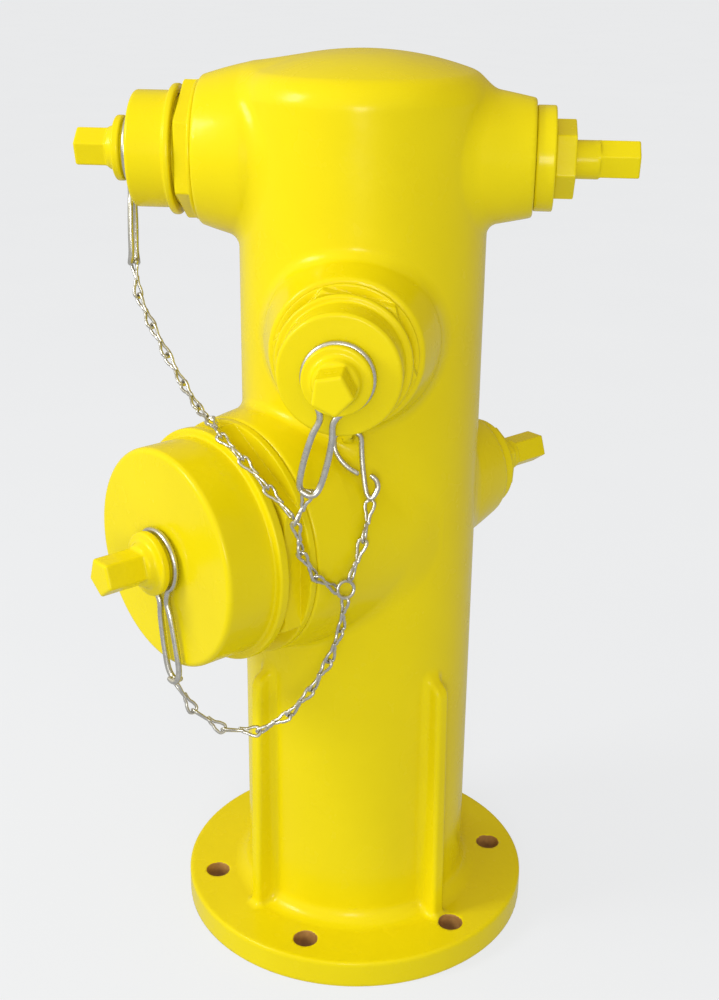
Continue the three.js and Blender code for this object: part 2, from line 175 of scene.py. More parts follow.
def enamel():
    """Gloss enamel sprayed over a sand casting: soft casting waves under fine orange peel."""
    n = Nodes("enamel")
    tint = n.ramp(n.noise(9, 4), [(0.3, (0.755, 0.625, 0.003)), (0.7, (0.805, 0.68, 0.004))])
    speckle = n.ramp(n.noise(900, 2), [(0.22, 0.93), (0.36, 1.0)])
    n.link(n.multiply(tint, speckle), n.shader.inputs["Base Color"])
    n.link(n.ramp(n.noise(38, 3), [(0.3, 0.2), (0.7, 0.3)]), n.shader.inputs["Roughness"])
    waves = n.bump(n.noise(55, 3), 0.22, 0.001)
    n.link(n.bump(n.noise(330, 2), 0.10, 0.0006, waves), n.shader.inputs["Normal"])
    n.set(IOR=1.5, Specular_IOR_Level=0.14, Coat_Weight=0.05, Coat_Roughness=0.08)
    return n.material


def primer():
    """Red-brown shop primer on the faces and holes that carry no enamel, with fine turning marks."""
    n = Nodes("primer")
    n.link(
        n.ramp(n.noise(120, 5, 0.6), [(0.3, (0.30, 0.14, 0.035)), (0.7, (0.50, 0.27, 0.075))]),
        n.shader.inputs["Base Color"],
    )
    n.link(n.ramp(n.noise(60, 3), [(0.3, 0.5), (0.7, 0.75)]), n.shader.inputs["Roughness"])
    rings = n.add("ShaderNodeTexWave", wave_type="RINGS", rings_direction="Z")
    rings.inputs["Scale"].default_value = 180
    n.link(n.place, rings.inputs["Vector"])
    grit = n.bump(n.noise(700, 4), 0.3, 0.0004)
    n.link(n.bump(rings.outputs["Fac"], 0.12, 0.0002, grit), n.shader.inputs["Normal"])
    return n.material


def zinc():
    """Bright zinc-plated wire, a little clouded, with drawing marks."""
    n = Nodes("zinc_wire")
    n.link(
        n.ramp(n.noise(240, 4), [(0.3, (0.54, 0.53, 0.49)), (0.7, (0.64, 0.63, 0.595))]),
        n.shader.inputs["Base Color"],
    )
    n.link(n.ramp(n.noise(500, 3), [(0.3, 0.24), (0.7, 0.36)]), n.shader.inputs["Roughness"])
    n.link(n.bump(n.noise(900, 2), 0.06, 0.0001), n.shader.inputs["Normal"])
    n.set(Metallic=1.0)
    return n.material


def bronze():
    """Machined waterworks bronze with a warm tarnish."""
    n = Nodes("bronze")
    n.link(
        n.ramp(n.noise(90, 5), [(0.3, (0.28, 0.15, 0.05)), (0.7, (0.52, 0.31, 0.12))]),
        n.shader.inputs["Base Color"],
    )
    n.link(n.ramp(n.noise(200, 3), [(0.3, 0.25), (0.7, 0.45)]), n.shader.inputs["Roughness"])
    n.link(n.bump(n.noise(900, 3), 0.2, 0.0002), n.shader.inputs["Normal"])
    n.set(Metallic=1.0)
    return n.material


def rubber():
    n = Nodes("rubber")
    n.link(
        n.ramp(n.noise(150, 4), [(0.3, (0.012, 0.012, 0.013)), (0.7, (0.035, 0.034, 0.033))]),
        n.shader.inputs["Base Color"],
    )
    n.link(n.ramp(n.noise(90, 3), [(0.3, 0.55), (0.7, 0.8)]), n.shader.inputs["Roughness"])
    n.link(n.bump(n.noise(1200, 2), 0.2, 0.0002), n.shader.inputs["Normal"])
    return n.material


def packing():
    """Braided, greased packing: a fine diagonal weave."""
    n = Nodes("packing")
    n.link(
        n.ramp(n.noise(300, 4), [(0.3, (0.09, 0.075, 0.05)), (0.7, (0.22, 0.19, 0.14))]),
        n.shader.inputs["Base Color"],
    )
    braid = n.add("ShaderNodeTexWave", wave_type="BANDS", bands_direction="DIAGONAL")
    braid.inputs["Scale"].default_value = 260
    n.link(n.place, braid.inputs["Vector"])
    n.link(n.bump(braid.outputs["Fac"], 0.6, 0.0005), n.shader.inputs["Normal"])
    n.set(Roughness=0.85)
    return n.material


paints = {
    "enamel": enamel(),
    "primer": primer(),
    "zinc_steel": zinc(),
    "bronze": bronze(),
    "rubber": rubber(),
    "packing": packing(),
}

# ---- pieces --------------------------------------------------------------------------------

STEPS_PER_SPAN = 24  # on a curve, between two given points
END_TURNS = (80, 50, 25)  # degrees: the rings that round off a bar's end


def new_object(name, points, faces, materials):
    mesh = bpy.data.meshes.new(name)
    mesh.from_pydata(points, [], faces)
    for material in materials:
        mesh.materials.append(material)
    mesh.polygons.foreach_set("use_smooth", np.ones(len(mesh.polygons), bool))
    piece = bpy.data.objects.new(name, mesh)
    bpy.context.scene.collection.objects.link(piece)
    return piece


def finish_piece(piece, body, node):
    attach(piece, body)
    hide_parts(node)


def new_wire(name, points, faces, body, node):
    """A zinc-plated wire piece that stands for a CAD node."""
    wire = new_object(name, points, faces, [paints["zinc_steel"]])
    finish_piece(wire, body, node)


def moved(points, matrix):
    m = np.array(matrix)
    return points @ m[:3, :3].T + m[:3, 3]


def fine_line(points, count):
    """count points evenly spaced on a Catmull-Rom curve through the given ones, and its length."""
    given = np.array(points, float)
    before, after = [2 * given[0] - given[1]], [2 * given[-1] - given[-2]]
    p = np.concatenate([before, given, after])
    t = np.linspace(0, 1, STEPS_PER_SPAN, endpoint=False)[:, None]
    pieces = []
    for a, b, c, d in zip(p, p[1:], p[2:], p[3:]):
        bend = 2 * a - 5 * b + 4 * c - d
        pieces.append(0.5 * (2 * b + (c - a) * t + bend * t**2 + (3 * b - a - 3 * c + d) * t**3))
    curve = np.concatenate([*pieces, given[-1:]])
    along = np.concatenate([[0], np.cumsum(np.linalg.norm(np.diff(curve, axis=0), axis=1))])
    at = np.linspace(0, along[-1], count)
    return np.stack([np.interp(at, along, curve[:, k]) for k in range(3)], axis=1), along[-1]


def unit(v):
    return v / np.linalg.norm(v, axis=-1, keepdims=True)


def swept(line, radius, sides=12):
    """Points and faces of a round bar along a line, with rounded ends."""
    tangents = unit(np.gradient(line, axis=0))
    side = unit(np.cross(tangents[0], [0.3, 0.5, 0.81]))
    angles = np.linspace(0, 2 * math.pi, sides, endpoint=False)
    rings = []

    def end_ring(centre, outward, circle, turn):
        shift = radius * math.sin(math.radians(turn))
        return centre + outward * shift + circle * radius * math.cos(math.radians(turn))

    last = len(line) - 1
    for i, (centre, tangent) in enumerate(zip(line, tangents)):
        side = unit(side - tangent * (side @ tangent))
        other = np.cross(tangent, side)
        circle = np.outer(np.cos(angles), side) + np.outer(np.sin(angles), other)
        if i == 0:
            rings += [end_ring(centre, -tangent, circle, turn) for turn in END_TURNS]
        rings.append(centre + circle * radius)
        if i == last:
            rings += [end_ring(centre, tangent, circle, turn) for turn in END_TURNS[::-1]]
    points = np.concatenate(rings)
    faces = [list(range(sides))[::-1]]
    for i in range(len(rings) - 1):
        for j in range(sides):
            a, b = i * sides + j, i * sides + (j + 1) % sides
            faces.append([a, b, b + sides, a + sides])
    faces.append(list(range(len(points) - sides, len(points))))
    return points, faces


# ---- chains --------------------------------------------------------------------------------

LINK_PITCH = 0.0262
LINK_WIRE = 0.00118  # radius
LINK_PLAY = 0.16  # radians: how far each link may be turned from the one before
LOOP_HALF = 0.0035  # a loop's half width, at the middle of its wire
END_OVER = 0.0042  # how far an end link reaches past its route, over the wire that it hangs on
JUNCTION = (0.003, -0.138, 0.342)
LINE_STEPS = 400

ROUTES = {
    "upper_chain": [
        (-0.170, -0.0076, 0.5374), (-0.1694, -0.010, 0.529), (-0.167, -0.014, 0.5195),
        (-0.162, -0.020, 0.510), (-0.156, -0.027, 0.502), (-0.142, -0.042, 0.484),
        (-0.126, -0.060, 0.466), (-0.110, -0.081, 0.453), (-0.097, -0.100, 0.449),
        (-0.088, -0.119, 0.4465), (-0.079, -0.130, 0.443), (-0.069, -0.139, 0.437),
        (-0.058, -0.147, 0.429), (-0.0465, -0.155, 0.419), (-0.0335, -0.1648, 0.4094),
    ],
    "front_chain": [
        (-0.0208, -0.170, 0.4226), (-0.0245, -0.1698, 0.414), (-0.0278, -0.1688, 0.4045),
        (-0.0288, -0.167, 0.3945), (-0.027, -0.165, 0.385), (-0.0225, -0.160, 0.371),
        (-0.0165, -0.154, 0.3575), (-0.011, -0.1475, 0.3485), (-0.006, -0.142, 0.344),
    ],
    "anchor_chain": [
        (0.0168, -0.1114, 0.394), (0.0157, -0.1183, 0.385), (0.014, -0.124, 0.375),
        (0.012, -0.1288, 0.363), (0.0075, -0.1345, 0.353),
    ],
    "pumper_chain": [
        (0.0025, -0.1375, 0.331), (0.001, -0.1365, 0.316), (-0.003, -0.136, 0.299),
        (-0.010, -0.1365, 0.281), (-0.022, -0.138, 0.259), (-0.039, -0.140, 0.238),
        (-0.052, -0.1415, 0.229), (-0.066, -0.143, 0.2245), (-0.080, -0.145, 0.226),
        (-0.092, -0.1465, 0.232), (-0.103, -0.1475, 0.2405), (-0.1115, -0.148, 0.2505),
        (-0.1172, -0.1478, 0.2626),
    ],
}


def link_line():
    """One link's wire along local X: a loop at each end, the second a quarter turn round."""
    loop = LOOP_HALF
    centre = LINK_PITCH / 2 + LINK_WIRE - loop
    outline = [(0, 0), (0.0024, -0.0011), (0.0048, -0.0015), (centre - 0.0030, -loop * 0.82)]
    for turn in (-75, -45, -15, 15, 45, 75):
        angle = math.radians(turn)
        outline.append((centre + loop * math.cos(angle), loop * math.sin(angle)))
    outline += [(centre - 0.0030, loop * 0.82), (0.0050, 0.0017), (0.0022, 0.0014), (-0.0010, 0.0016)]
    first = [(along, side, 0.0) for along, side in outline]
    second = [(-along, 0.0, side) for along, side in outline[1:]]
    return fine_line(first[::-1] + second, 96)[0]


def chain_mesh(route, twist):
    """The links of one chain along its route: points, faces, and the line that they follow with
    its length. twist turns the first link about the line."""
    given = np.array(route)
    first = given[0] - unit(given[1] - given[0]) * END_OVER
    last = given[-1] + unit(given[-1] - given[-2]) * END_OVER
    line, length = fine_line([first, *given, last], LINE_STEPS)
    count = max(1, round(length / LINK_PITCH))
    share = np.linspace(0, 1, count + 1)
    steps = np.linspace(0, 1, LINE_STEPS)
    knots = np.stack([np.interp(share, steps, line[:, k]) for k in range(3)], axis=1)
    random = np.random.default_rng(7)
    pattern, pattern_faces = swept(link_line(), LINK_WIRE, 10)
    points, faces = [], []
    side = np.array([math.sin(twist), math.cos(twist), 0.35])
    for start, end in zip(knots, knots[1:]):
        along = unit(end - start)
        side = unit(side - along * (side @ along))
        play = random.uniform(-LINK_PLAY, LINK_PLAY)
        across = side * math.cos(play) + np.cross(along, side) * math.sin(play)
        axes = np.stack([along, across, np.cross(along, across)])
        stretch = np.array([np.linalg.norm(end - start) / LINK_PITCH, 1, 1])
        base = len(points) * len(pattern)
        points.append((pattern * stretch) @ axes + (start + end) / 2)
        faces += [[base + corner for corner in face] for face in pattern_faces]
    return np.concatenate(points), faces, line, length


def make_chain(name, route, node, twist, hook_body=None):
    """A chain of links along its route, standing for a CAD node. With hook_body it is left in place on
    no body, otherwise it goes on the root body.
    """
    points, faces, line, length = chain_mesh(route, twist)
    chain = new_object(name, points, faces, [paints["zinc_steel"]])
    if hook_body:
        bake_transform(chain)
    else:
        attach(chain, "root")
    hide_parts(node)


# The upper chain lies on the pumper cap's edge, so it is made as two lengths that meet there, each
# starting at the hook at its own end.
REST = 8  # the route's point on the pumper cap
upper = ROUTES["upper_chain"]
make_chain("upper_chain_high", upper[: REST + 1], "upper_chain", 0.5, "upper_hook_body")
make_chain("upper_chain_low", upper[REST:][::-1], "upper_chain", 1.1, "front_hook_body")
make_chain("front_chain_links", ROUTES["front_chain"], "front_chain", 0.3, "front_hook_body")
make_chain("anchor_chain_links", ROUTES["anchor_chain"], "anchor_chain", 0.2)
make_chain("pumper_chain_links", ROUTES["pumper_chain"][::-1], "pumper_chain", 0.8, "pumper_hook_body")

# ---- wire hooks ----------------------------------------------------------------------------

HOOK_WIRE = 0.0022  # radius
HOOK_RING = 0.0228
HOOK_OPENING = 24  # degrees each side of straight down
HOOK_CLEARANCE = 0.0003
NECK_RADIUS = 0.020  # the cap's neck that the hook hangs on
ANCHOR_WIRE = 0.0019
ANCHOR_POINTS = [
    (0.007, -0.105, 0.417), (0.001, -0.1055, 0.421), (-0.005, -0.105, 0.427), (-0.009, -0.103, 0.434),
    (-0.0094, -0.1015, 0.441), (-0.0074, -0.101, 0.4446), (-0.004, -0.101, 0.446), (0, -0.101, 0.446),
    (0.004, -0.101, 0.446), (0.0076, -0.101, 0.4446), (0.0094, -0.101, 0.441), (0.0098, -0.1015, 0.434),
    (0.0106, -0.103, 0.424), (0.0124, -0.1055, 0.411), (0.0143, -0.108, 0.403), (0.017, -0.1085, 0.3998),
    (0.020, -0.1075, 0.402), (0.022, -0.1055, 0.407), (0.0208, -0.1048, 0.412), (0.0178, -0.1046, 0.415),
]
RING_WIRE = 0.0013
RING_RADIUS = 0.0062
RING_TURN = (math.radians(78), math.radians(28))  # about X and Y
RING_GAP = 0.04  # radians each side of its split


def place_of(outlet):
    """The outlet's local frame: X along its axis and out, Z up, on the barrel's axis."""
    joint = joints[f"{outlet}_cap_turn"]
    out = Vector(joint["axis"]).normalized()
    up = Vector((0, 0, 1))
    turn = Matrix((out, up.cross(out), up)).transposed().to_4x4()
    return Matrix.Translation(Vector(joint["pos_m"])) @ turn


def make_hook(outlet, swing, leg):
    """An open ring on the cap's neck with two legs of the given length, whose ends are bent across."""
    ring = []
    for turn in np.linspace(HOOK_OPENING, 360 - HOOK_OPENING, 23):
        angle = math.radians(turn - 90)
        ring.append((0.0, HOOK_RING * math.cos(angle), HOOK_RING * math.sin(angle)))
    right, left = (
        [(0.0, side * 0.0046, -0.030), (0.0, side * 0.0066, -0.042), (0.0, side * 0.0076, -0.7 * leg),
         (0.0, side * 0.0072, -0.9 * leg), (side * 0.0012, side * 0.0052, -leg + 0.001),
         (side * 0.0023, side * 0.0012, -leg - 0.0006), (side * 0.0023, side * -0.0030, -leg + 0.0004)]
        for side in (1, -1)
    )
    line, _ = fine_line(right[::-1] + ring + left, 240)
    points, faces = swept(line, HOOK_WIRE, 14)
    low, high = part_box(f"{outlet}_cap_hook")
    frame_of = place_of(outlet)
    along = (frame_of.inverted() @ ((low + high) / 2)).x
    drop = HOOK_RING - NECK_RADIUS - HOOK_WIRE - HOOK_CLEARANCE
    swung = Matrix.Translation((along, 0, -drop)) @ Matrix.Rotation(swing, 4, "X")
    points = moved(points, frame_of @ swung)
    new_wire(f"{outlet}_wire_hook", points, faces, f"{outlet}_hook_body", f"{outlet}_cap_hook")


def make_anchor():
    """The open hook in the cast eye, and the small ring that joins three of the chains."""
    line, _ = fine_line(ANCHOR_POINTS, 140)
    new_wire("anchor_wire_hook", *swept(line, ANCHOR_WIRE, 14), "root", "anchor_hook")
    angles = np.linspace(RING_GAP, 2 * math.pi - RING_GAP, 60)
    circle = np.stack([np.cos(angles), np.sin(angles), np.sin(angles) * 0.02], axis=1) * RING_RADIUS
    turn = Matrix.Rotation(RING_TURN[0], 4, "X") @ Matrix.Rotation(RING_TURN[1], 4, "Y")
    line = moved(circle, Matrix.Translation(JUNCTION) @ turn)
    new_wire("chain_split_ring", *swept(line, RING_WIRE, 10), "root", "chain_ring")


make_anchor()

# ---- distance fields -----------------------------------------------------------------------

SHARP_ANGLE = math.radians(24)
KEEP_MIDDLE = 0.05  # how strongly a vertex is held to the middle of its cell's crossings


def both(a, b, edge=0.0):
    """Where two solids overlap, with the edge between them rounded."""
    corner = np.hypot(np.maximum(a + edge, 0), np.maximum(b + edge, 0))
    return np.minimum(np.maximum(a, b), -edge) + corner


def join(a, b, fillet=0.0):
    """Two solids as one, with a fillet in the corner between them."""
    return -both(-a, -b, fillet)


def cut(a, b, edge=0.0):
    """Solid a with b taken out of it."""
    return both(a, -b, edge)


def slab(along, start, end):
    return np.maximum(start - along, along - end)


def polygon(across, up, corner, sides, turn, edge):
    """A prism's section with rounded corners, one of them up when turn is 0."""
    sector = 2 * math.pi / sides
    angle = np.arctan2(across, up) - turn
    folded = np.abs(np.mod(angle + sector / 2, sector) - sector / 2) - sector / 2
    radius = np.hypot(across, up)
    flat = radius * np.cos(folded)
    beside = np.abs(radius * np.sin(folded))
    apothem = corner * math.cos(sector / 2)
    inner = apothem - edge
    half = corner * math.sin(sector / 2) * inner / apothem
    past = np.hypot(np.maximum(flat - inner, 0), np.maximum(beside - half, 0))
    return np.where(flat > inner, past, flat - inner) - edge


def thread(u, across, up, pitch, depth):
    """How far a right-hand screw thread is cut in at each place, from 0 on its crests to depth."""
    turns = u / pitch - np.arctan2(up, across) / (2 * math.pi)
    wave = np.abs(2 * np.mod(turns, 1) - 1)
    return depth * np.clip((wave - 0.12) / 0.76, 0, 1)


def gradient(field, points, step=1e-4):
    out = np.empty_like(points)
    for k in range(3):
        shift = np.zeros(3)
        shift[k] = step
        out[:, k] = (field(points + shift) - field(points - shift)) / (2 * step)
    return out


def contour(field, low, high, cell):
    """Vertices and quads on the zero surface of a field, by dual contouring, which keeps sharp edges."""
    low = np.array(low) - 2 * cell
    counts = np.ceil((np.array(high) + 2 * cell - low) / cell).astype(int) + 1
    ys, zs = (low[k] + cell * np.arange(counts[k]) for k in (1, 2))
    plane = np.stack(np.meshgrid(ys, zs, indexing="ij"), axis=-1).reshape(-1, 2)
    values = np.empty(tuple(counts), np.float32)
    for i in range(counts[0]):
        x = np.full((len(plane), 1), low[0] + cell * i)
        values[i] = field(np.concatenate([x, plane], axis=1)).reshape(counts[1], counts[2])
    inside = values < 0
    crossings, normals, owners, quads = [], [], [], []
    for k in range(3):
        here = [slice(None)] * 3
        after = [slice(None)] * 3
        here[k], after[k] = slice(0, -1), slice(1, None)
        start = np.argwhere(inside[tuple(here)] != inside[tuple(after)])
        step = np.eye(3, dtype=int)[k]
        v0 = values[tuple(start.T)].astype(float)
        v1 = values[tuple((start + step).T)].astype(float)
        t0, t1 = np.zeros(len(start)), np.ones(len(start))
        for _ in range(3):
            t = t0 + (t1 - t0) * v0 / (v0 - v1)
            points = low + cell * (start + t[:, None] * step)
            v = field(points)
            same = (v < 0) == (v0 < 0)
            t0, v0 = np.where(same, t, t0), np.where(same, v, v0)
            t1, v1 = np.where(same, t1, t), np.where(same, v1, v)
            v1 = np.where(v0 == v1, v0 + 1e-12, v1)
        i_step, j_step = np.eye(3, dtype=int)[(k + 1) % 3], np.eye(3, dtype=int)[(k + 2) % 3]
        around = [start - i_step - j_step, start - j_step, start, start - i_step]
        ids = np.stack([np.ravel_multi_index(c.T, tuple(counts)) for c in around], axis=1)
        outward = inside[tuple(start.T)]
        quads.append(np.where(outward[:, None], ids, ids[:, ::-1]))
        owners.append(ids)
        crossings.append(points)
        normals.append(unit(gradient(field, points)))
    crossings, normals = np.concatenate(crossings), np.concatenate(normals)
    names, owner = np.unique(np.concatenate(owners).ravel(), return_inverse=True)
    points = np.repeat(crossings, 4, axis=0)
    normals = np.repeat(normals, 4, axis=0)

    def total(weights):
        return np.bincount(owner, weights, minlength=len(names))

    amount = total(np.ones(len(owner)))
    middle = np.stack([total(points[:, k]) for k in range(3)], axis=1) / amount[:, None]
    pull = (normals * (points - middle[owner])).sum(1)
    right = np.stack([total(normals[:, k] * pull) for k in range(3)], axis=1)
    matrix = np.empty((len(names), 3, 3))
    for i in range(3):
        for j in range(3):
            matrix[:, i, j] = total(normals[:, i] * normals[:, j]) + (KEEP_MIDDLE if i == j else 0)
    shift = np.linalg.solve(matrix, right[:, :, None])[:, :, 0]
    size = np.linalg.norm(shift, axis=1, keepdims=True)
    shift *= np.minimum(1, cell / np.maximum(size, 1e-12))
    faces = np.searchsorted(names, np.concatenate(quads))
    return settle(field, middle + shift, cell), faces


def settle(field, points, cell):
    """The points moved onto the surface."""
    for _ in range(2):
        slope = gradient(field, points)
        away = field(points)[:, None] / np.maximum((slope**2).sum(1, keepdims=True), 0.25)
        points = points - slope * np.clip(away, -cell / 2, cell / 2)
    return points


def corner_normals(field, points, corners, face_centres):
    """The surface's own normal at each face corner: its vertex's, or at a sharp edge the normal a
    little way into the face."""
    at_vertex = unit(gradient(field, points))[corners]
    inward = points[corners] * 0.65 + face_centres * 0.35
    at_corner = unit(gradient(field, inward))
    sharp = (at_vertex * at_corner).sum(1) < math.cos(SHARP_ANGLE)
    return np.where(sharp[:, None], at_corner, at_vertex)


def cast_piece(name, field, low, high, cell, matrix, materials, most_faces=None, bare=None):
    """A piece whose surface is a field's, in local coordinates, put in place by matrix.
    bare(points) says which face centres take the second material."""
    points, quads = contour(field, low, high, cell)
    piece = new_object(name, points, quads.tolist(), materials)
    mesh = piece.data
    if most_faces and 2 * len(quads) > most_faces:
        thin = piece.modifiers.new("thin", "DECIMATE")
        thin.ratio = most_faces / (2 * len(quads))
        graph = bpy.context.evaluated_depsgraph_get()
        mesh = bpy.data.meshes.new_from_object(piece.evaluated_get(graph))
        piece.modifiers.clear()
        piece.data = mesh
        points = np.empty(len(mesh.vertices) * 3)
        mesh.vertices.foreach_get("co", points)
        points = settle(field, points.reshape(-1, 3), cell / 2)
    corners = np.empty(len(mesh.loops), np.int32)
    mesh.loops.foreach_get("vertex_index", corners)
    sizes = np.empty(len(mesh.polygons), np.int32)
    mesh.polygons.foreach_get("loop_total", sizes)
    owner = np.repeat(np.arange(len(sizes)), sizes)
    sums = [np.bincount(owner, points[corners, k], minlength=len(sizes)) for k in range(3)]
    centres = np.stack(sums, axis=1) / sizes[:, None]
    normals = corner_normals(field, points, corners, centres[owner])
    if bare:
        mesh.polygons.foreach_set("material_index", bare(centres).astype(np.int32))
    turn = np.array(matrix)[:3, :3]
    mesh.vertices.foreach_set("co", moved(points, matrix).astype(np.float32).ravel())
    mesh.polygons.foreach_set("use_smooth", np.ones(len(mesh.polygons), bool))
    mesh.update()
    mesh.normals_split_custom_set((normals @ turn.T).tolist())
    return piece


# ---- sizes that the pieces share -----------------------------------------------------------


def reach(node, matrix):
    """A CAD node's first and last place along the outlet's axis, and its largest radius about it."""
    back = np.array(matrix.inverted())
    mesh = frame["nodes"][node].data
    points = np.array([v.co for v in mesh.vertices])
    local = moved(points, back)
    return local[:, 0].min(), local[:, 0].max(), np.hypot(local[:, 1], local[:, 2]).max()


COARSER = 1.0  # how much coarser a quick try's meshes are

MOST_BARREL_FACES = 190_000
MOST_FACES = 90_000

BARREL_RADIUS = 0.0904
BARREL_BORE = 0.078
BORE_TOP = 0.681
SHOULDER = 0.013
DOME_RADIUS = 0.2337
FLANGE_RADIUS = 0.1424
FLANGE_THICK = 0.0228
HOLE_CIRCLE = 0.11906
HOLE_RADIUS = 0.0095
HOLE_COUNT = 6
FIRST_HOLE = math.radians(16)
RIB_HALF = 0.0058
RIB_TOP = 0.238
RIB_REACH = 0.1075  # a rib's outer face at the flange, from the barrel's axis
RIB_LEAN = 0.0165  # how much nearer that face comes for each metre up
RIB_SLOPE = (0.55, 0.835)  # which way its sloping top faces, out and up
EYE_HEIGHT = 0.446
EYE_OUT = 0.101
EYE_RADIUS = 0.009
EYE_HALF = 0.004
EYE_HOLE = 0.0046
GATE_RADIUS = 0.033  # the hole through the wall on the valve side
ROOT_DEPTH = 0.030  # how far from the barrel's axis a boss is narrower, and by how much
ROOT_SHRINK = 0.0065

# The outlets' sizes. seat, stem_nut, cap_inside and the names in face, end and start are places along
# the outlet from the barrel's axis, pitch, cap_round and hook_leg are lengths, and the rest are radii.
# boss and valve each give a radius, where the side starts to close in, over what length, how far.
HOSE = dict(
    boss=(0.0625, 0.080, 0.035, 0.0092), boss_face=0.117, boss_fillet=0.007,
    valve=(0.050, 0.076, 0.045, 0.0082), valve_face=0.122,
    passage=0.0436, entry=0.042, seat=0.084,
    collar_end=0.120, hex_end=0.130, hex_corner=0.0495, thread=0.0386, pitch=0.003387, bore=0.03175,
    nozzle=0.043, cap_thread=0.0395, cap_radius=0.0415, flange_end=0.138, cap_inside=0.1587,
    cap_face=0.166, cap_round=0.0026, neck_end=0.174, disc_end=0.180, nut_start=0.187, hook_leg=0.082,
    stem_nut=0.166,
)
PUMPER = dict(
    boss=(0.0925, 0.080, 0.034, 0.0042), boss_face=0.114, boss_fillet=0.006,
    valve=(0.056, 0.076, 0.045, 0.0120), valve_face=0.122,
    passage=0.0778, entry=0.070, seat=0.084,
    collar_end=0.120, hex_end=0.134, hex_corner=0.088, thread=0.0727, pitch=0.00635, bore=0.05715,
    nozzle=0.077, cap_thread=0.074, cap_radius=0.0805, flange_end=0.145, cap_inside=0.1727,
    cap_face=0.1845, cap_round=0.0042, neck_end=0.193, disc_end=0.199, nut_start=0.206, hook_leg=0.089,
    stem_nut=0.166,
)
OUTLETS = {  # degrees
    "upper": dict(size=HOSE, swing=5, collar_turn=0, nut_turn=0, gland_turn=-13),
    "front": dict(size=HOSE, swing=-14, collar_turn=42, nut_turn=26, gland_turn=10),
    "pumper": dict(size=PUMPER, swing=11, collar_turn=0, nut_turn=36, gland_turn=4),
}
NUT_CORNER = 0.014
STEM_RADIUS = 0.0136
STEM_HOLE = 0.0143
SPIGOT_RADIUS = 0.009  # the stem's inner end
BONNET_SPIGOT = 0.0324
PACKING_RADIUS = 0.022
PACKING_START = 0.113
GLAND_SKIRT = 0.0214
GLAND_FACE = 0.1363
CONE_RADIUS = 0.0172  # between a cap's disc and its nut
CONE_TAPER = 0.0028
GAP = 0.0003  # between a face and the piece that is screwed up to it
DISC_RADIUS = 0.0234
identity = Matrix.Identity(4)

# ---- the barrel ----------------------------------------------------------------------------


def tapered(rho, u, radius, start, length, drop, power):
    """Distance from a boss's side, whose radius shrinks more and more from start on.
    Near the barrel's axis it shrinks too, so that a wide boss stays inside the barrel there."""
    share = np.clip((u - start) / length, 0, 1.2)
    inner = np.clip(1 - u / ROOT_DEPTH, 0, 1)
    return (rho - radius + drop * share**power + ROOT_SHRINK * inner**2) * 0.96


def flange_holes(x, y):
    """Distance from the nearest of the flange's bolt holes."""
    sector = 2 * math.pi / HOLE_COUNT
    turn = np.mod(np.arctan2(y, x) - FIRST_HOLE + sector / 2, sector) - sector / 2
    r = np.hypot(x, y)
    return np.hypot(r * np.cos(turn) - HOLE_CIRCLE, r * np.sin(turn)) - HOLE_RADIUS


def barrel_field(places):
    """The barrel's field. places are the outlets' local frames, each with its sizes."""
    def field(p):
        x, y, z = p.T
        r = np.hypot(x, y)
        height = cad_box[1].z
        dome = np.hypot(r, np.maximum(z - (height - DOME_RADIUS), 0)) - DOME_RADIUS
        body = both(r - BARREL_RADIUS, dome, SHOULDER)

        # Four ribs at 45 degrees, folded onto one.
        out = (np.abs(x) + np.abs(y)) / math.sqrt(2)
        beside = np.abs(np.abs(x) - np.abs(y)) / math.sqrt(2)
        face = out - (RIB_REACH - (z - FLANGE_THICK) * RIB_LEAN)
        slope = (out - BARREL_RADIUS + 0.001) * RIB_SLOPE[0] + (z - RIB_TOP) * RIB_SLOPE[1]
        rib = both(both(face, slope, 0.005), beside - RIB_HALF, 0.0036)
        flange = both(r - FLANGE_RADIUS, z - FLANGE_THICK, 0.0025)
        body = join(join(body, flange, 0.014), rib, 0.0055)

        # The cast eye that holds the chains.
        eye = np.hypot(np.maximum(-y - EYE_OUT + 0.002, 0), z - EYE_HEIGHT) - EYE_RADIUS
        lug = both(both(eye, np.abs(x) - EYE_HALF, 0.0024), y + BARREL_BORE)
        body = join(body, lug, 0.005)

        # Each outlet's bosses, and the water's way through them.
        hollow = both(r - BARREL_BORE, z - BORE_TOP, 0.02)
        for place, size in places:
            q = moved(p, place)
            u = q[:, 0]
            rho = np.hypot(q[:, 1], q[:, 2])
            boss = both(tapered(rho, u, *size["boss"], 1.25), u - size["boss_face"], 0.0022)
            body = join(body, np.maximum(boss, -u), size["boss_fillet"])
            valve = both(tapered(rho, -u, *size["valve"], 1.15), -u - size["valve_face"], 0.0018)
            body = join(body, np.maximum(valve, u), 0.007)
            way = both(rho - size["passage"], (size["seat"] - 0.002) - u)
            entry = np.maximum(both(rho - size["entry"], u - (size["seat"] - 0.001)), -u)
            gate = np.maximum(rho - GATE_RADIUS, u)
            hollow = join(hollow, np.minimum(np.minimum(way, entry), gate), 0.002)
        body = cut(body, hollow, 0.0009)
        body = cut(body, np.hypot(y + EYE_OUT, z - EYE_HEIGHT) - EYE_HOLE, 0.0014)
        body = cut(body, both(flange_holes(x, y), z - 0.05), 0.0011)
        return both(body, -z, 0.0012)

    return field


def bare_iron(centres):
    """Faces in the flange holes, in the bore and underneath, which are primed and not enamelled."""
    x, y, z = centres.T
    r = np.hypot(x, y)
    in_hole = (flange_holes(x, y) < 0.0003) & (z < FLANGE_THICK)
    bore_end = np.where(r < 0.070, BORE_TOP + 0.0002, BORE_TOP - 0.003)
    return in_hole | (z < 0.0006) | ((r < BARREL_BORE + 0.002) & (z < bore_end))


